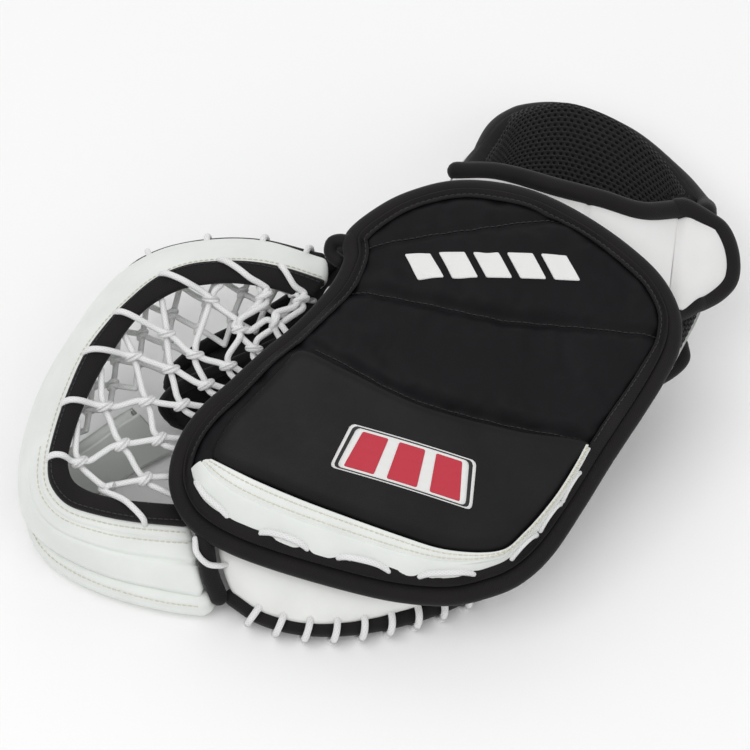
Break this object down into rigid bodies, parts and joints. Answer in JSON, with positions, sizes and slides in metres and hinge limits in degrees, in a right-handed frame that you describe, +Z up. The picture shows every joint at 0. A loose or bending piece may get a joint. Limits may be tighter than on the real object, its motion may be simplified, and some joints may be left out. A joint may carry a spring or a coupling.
{
  "type": "goalie catch glove",
  "caption": "Left-hand ice hockey goalie catch glove lying palm down: laced web pocket, padded backhand, wrist cuff, and a thumb half that folds open.",
  "frame": {"origin": "centre of the bounding box's bottom face, on the surface that the glove lies on", "axes": "+X from the web pocket to the little finger's side, +Y from the fingertips to the wrist, +Z up out of the back of the hand"},
  "size_m": [0.455, 0.3989, 0.1362],
  "materials": {
    "white_leather": "fine-grained white glove leather, satin",
    "black_leather": "fine-grained charcoal black leather, satin",
    "black_nylon": "smooth black nylon over foam, matte",
    "black_binding": "knit tape rolled over the edge, matte",
    "white_lace": "braided white lace",
    "mesh_fabric": "black spacer mesh with small holes",
    "white_synthetic": "smooth white synthetic leather",
    "emblem_red": "red and white embroidered patch",
    "white_embroidery": "white embroidered bar",
    "board": "stiff moulded board, matte",
    "liner": "soft black hand liner"
  },
  "bodies": {
    "finger_half": {"palm_board": "board", "palm_leather": "black_leather", "finger_rim": "white_leather", "finger_edge_binding": "black_binding", "finger_edge_lacing": "white_lace", "finger_rim_end": "black_binding", "index_wall": "white_leather", "finger_stalls": "liner", "hand_strap": "liner", "cuff_board": "white_leather", "cuff_mesh_pad": "mesh_fabric", "cuff_binding": "black_binding", "wrist_panel": "white_synthetic", "wrist_binding": "black_binding", "palm_gusset": "black_leather"},
    "backhand": {"backhand_panel": "black_nylon", "backhand_binding": "black_binding", "knuckle_pad": "black_leather", "emblem": "emblem_red", "name_bar": "white_embroidery", "pad_strip": "white_leather", "pad_lacing": "white_lace"},
    "web": {"web_strip": "white_leather", "web_core": "board", "web_binding": "black_binding", "spine_edge_binding": "black_binding", "spine_edge_lacing": "white_lace", "finger_side_net": "white_lace", "thumb_side_net": "white_lace", "crossbar_roll": "white_leather", "thumb_arm": "white_leather"},
    "thumb_half": {"thumb_palm_leather": "black_leather", "thumb_board": "board", "thumb_top_binding": "black_binding", "thumb_stall": "liner", "thumb_cover": "white_leather", "thumb_cover_binding": "black_binding", "thumb_foot_binding": "black_binding"},
    "wrist_strap": {"strap_tab": "white_synthetic", "strap_tab_binding": "black_binding"}
  },
  "joints": [
    {"name": "thumb_fold", "type": "hinge", "parent": "finger_half", "child": "thumb_half", "pos_m": [-0.03341, -0.01594, 0.07691], "axis": [0.6342, 0.7732, 0], "range_deg": [0, 14], "deforming": ["palm_gusset"]},
    {"name": "web_fold", "type": "hinge", "parent": "finger_half", "child": "web", "pos_m": [-0.03341, -0.01594, 0.07691], "axis": [0.6342, 0.7732, 0], "range_deg": [0, 5.6], "deforming": ["finger_side_net", "thumb_side_net"]},
    {"name": "backhand_lift", "type": "hinge", "parent": "finger_half", "child": "backhand", "pos_m": [-0.00541, -0.18494, 0.04691], "axis": [0.9788, -0.205, 0], "range_deg": [0, 12]},
    {"name": "wrist_tab_peel", "type": "hinge", "parent": "finger_half", "child": "wrist_strap", "pos_m": [0.18559, 0.01906, 0.08891], "axis": [-0.077, -0.9806, -0.1801], "range_deg": [0, 60]}
  ],
  "couplings": [
    {"joint": "web_fold", "follows": "thumb_fold", "ratio": 0.4}
  ]
}
